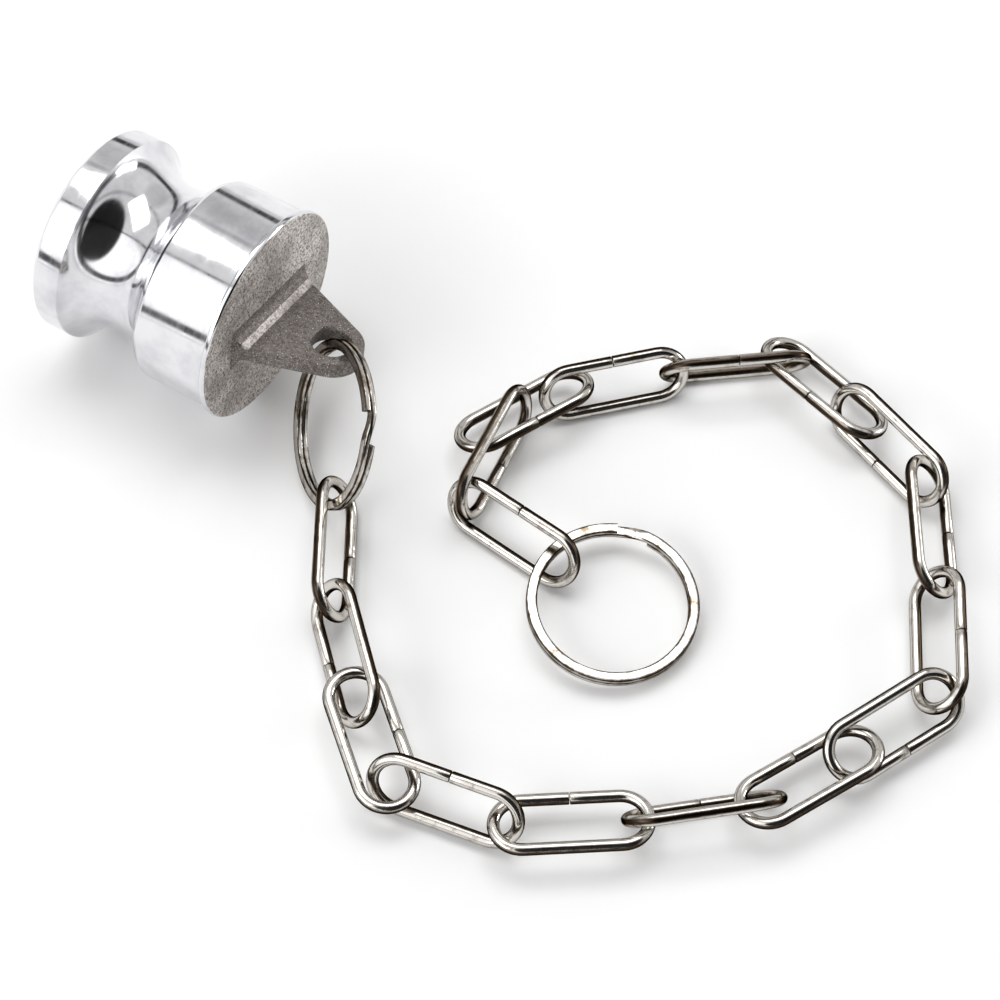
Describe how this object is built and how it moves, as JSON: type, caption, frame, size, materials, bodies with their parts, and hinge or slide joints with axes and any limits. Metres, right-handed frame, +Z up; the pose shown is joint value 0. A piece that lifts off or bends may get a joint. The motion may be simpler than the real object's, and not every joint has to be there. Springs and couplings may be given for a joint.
{
  "type": "cam-and-groove dust plug",
  "caption": "Cam-and-groove dust plug: turned plug with cam groove, collar and thin flange, cast lug, split ring, long-link wire chain and end ring.",
  "frame": {"origin": "on the plug's axis, halfway along the land of the nose ring", "axes": "X along the plug's axis, -X out of the nose and +X towards the lug; +Z up from the floor the part lies on"},
  "size_m": [0.1666, 0.1133, 0.0382],
  "materials": {
    "plug_aluminium": "turned bright in front, as cast and blasted at the back and on the lug",
    "ring_steel": "bright spring wire",
    "chain_steel": "bright drawn wire"
  },
  "bodies": {
    "plug": {"plug_body": "plug_aluminium"},
    "lug_ring": {"lug_ring": "ring_steel"},
    "link_01": {"link_01": "chain_steel"},
    "link_02": {"link_02": "chain_steel"},
    "link_03": {"link_03": "chain_steel"},
    "link_04": {"link_04": "chain_steel"},
    "link_05": {"link_05": "chain_steel"},
    "link_06": {"link_06": "chain_steel"},
    "link_07": {"link_07": "chain_steel"},
    "link_08": {"link_08": "chain_steel"},
    "link_09": {"link_09": "chain_steel"},
    "link_10": {"link_10": "chain_steel"},
    "link_11": {"link_11": "chain_steel"},
    "link_12": {"link_12": "chain_steel"},
    "link_13": {"link_13": "chain_steel"},
    "link_14": {"link_14": "chain_steel"},
    "link_15": {"link_15": "chain_steel"},
    "link_16": {"link_16": "chain_steel"},
    "link_17": {"link_17": "chain_steel"},
    "end_ring": {"end_ring": "ring_steel"}
  },
  "joints": [
    {"name": "lug_ring_swing", "type": "hinge", "parent": "plug", "child": "lug_ring", "pos_m": [0.04485, 0, 0], "axis": [0, 0.2588, 0.9659], "range_deg": [-69, 75]},
    {"name": "link_01_swing", "type": "hinge", "parent": "lug_ring", "child": "link_01", "pos_m": [0.05788, -0.01976, -0.01111], "axis": [-0.5893, 0.0455, -0.8066], "range_deg": [-42, 75]},
    {"name": "link_02_swing", "type": "hinge", "parent": "link_01", "child": "link_02", "pos_m": [0.06752, -0.03613, -0.01407], "axis": [-0.3969, -0.3101, 0.8639], "range_deg": [-75, 75]},
    {"name": "link_03_swing", "type": "hinge", "parent": "link_02", "child": "link_03", "pos_m": [0.07875, -0.04649, -0.01376], "axis": [0, 0, -1], "range_deg": [-21, 30]},
    {"name": "link_04_swing", "type": "hinge", "parent": "link_03", "child": "link_04", "pos_m": [0.09515, -0.05779, -0.01396], "axis": [-0.258, -0.9629, 0.079], "range_deg": [-75, 30]},
    {"name": "link_05_swing", "type": "hinge", "parent": "link_04", "child": "link_05", "pos_m": [0.10869, -0.05361, -0.01396], "axis": [-0.3692, 0.9137, -0.17], "range_deg": [-75, 75]},
    {"name": "link_06_swing", "type": "hinge", "parent": "link_05", "child": "link_06", "pos_m": [0.1293, -0.04053, -0.01384], "axis": [0.5927, -0.7865, 0.1734], "range_deg": [-30, 33]},
    {"name": "link_07_swing", "type": "hinge", "parent": "link_06", "child": "link_07", "pos_m": [0.14311, -0.02931, -0.01409], "axis": [0, 0, -1], "range_deg": [-12, 33]},
    {"name": "link_08_swing", "type": "hinge", "parent": "link_07", "child": "link_08", "pos_m": [0.15135, -0.01417, -0.01379], "axis": [0, 0, 1], "range_deg": [-33, 18]},
    {"name": "link_09_swing", "type": "hinge", "parent": "link_08", "child": "link_09", "pos_m": [0.15875, 0.0046, -0.01289], "axis": [-0.8891, -0.0155, 0.4574], "range_deg": [-75, 75]},
    {"name": "link_10_swing", "type": "hinge", "parent": "link_09", "child": "link_10", "pos_m": [0.14836, 0.02148, -0.01385], "axis": [-0.6155, -0.3483, -0.707], "range_deg": [-60, 75]},
    {"name": "link_11_swing", "type": "hinge", "parent": "link_10", "child": "link_11", "pos_m": [0.13692, 0.03895, -0.01302], "axis": [-0.4628, -0.5615, 0.6859], "range_deg": [-66, 75]},
    {"name": "link_12_swing", "type": "hinge", "parent": "link_11", "child": "link_12", "pos_m": [0.12768, 0.04079, -0.01422], "axis": [0.2703, 0.8574, -0.438], "range_deg": [-75, 75]},
    {"name": "link_13_swing", "type": "hinge", "parent": "link_12", "child": "link_13", "pos_m": [0.10401, 0.04561, -0.0135], "axis": [-0.1748, 0.899, -0.4015], "range_deg": [-75, 9]},
    {"name": "link_14_swing", "type": "hinge", "parent": "link_13", "child": "link_14", "pos_m": [0.09245, 0.03344, -0.01381], "axis": [0, 0, -1], "range_deg": [-27, 39]},
    {"name": "link_15_swing", "type": "hinge", "parent": "link_14", "child": "link_15", "pos_m": [0.07611, 0.0174, -0.01408], "axis": [-0.3436, 0.2542, 0.9041], "range_deg": [-75, 75]},
    {"name": "link_16_swing", "type": "hinge", "parent": "link_15", "child": "link_16", "pos_m": [0.07348, 0.01534, -0.01273], "axis": [0.2646, -0.049, -0.9631], "range_deg": [-57, 75]},
    {"name": "link_17_swing", "type": "hinge", "parent": "link_16", "child": "link_17", "pos_m": [0.07618, -0.0089, -0.01329], "axis": [0.2305, 0.2305, -0.9454], "range_deg": [-51, 33]},
    {"name": "end_ring_swing", "type": "hinge", "parent": "link_17", "child": "end_ring", "pos_m": [0.09204, -0.00835, -0.01445], "axis": [-0.1219, -0.9925, 0], "range_deg": [-75, 75]}
  ]
}
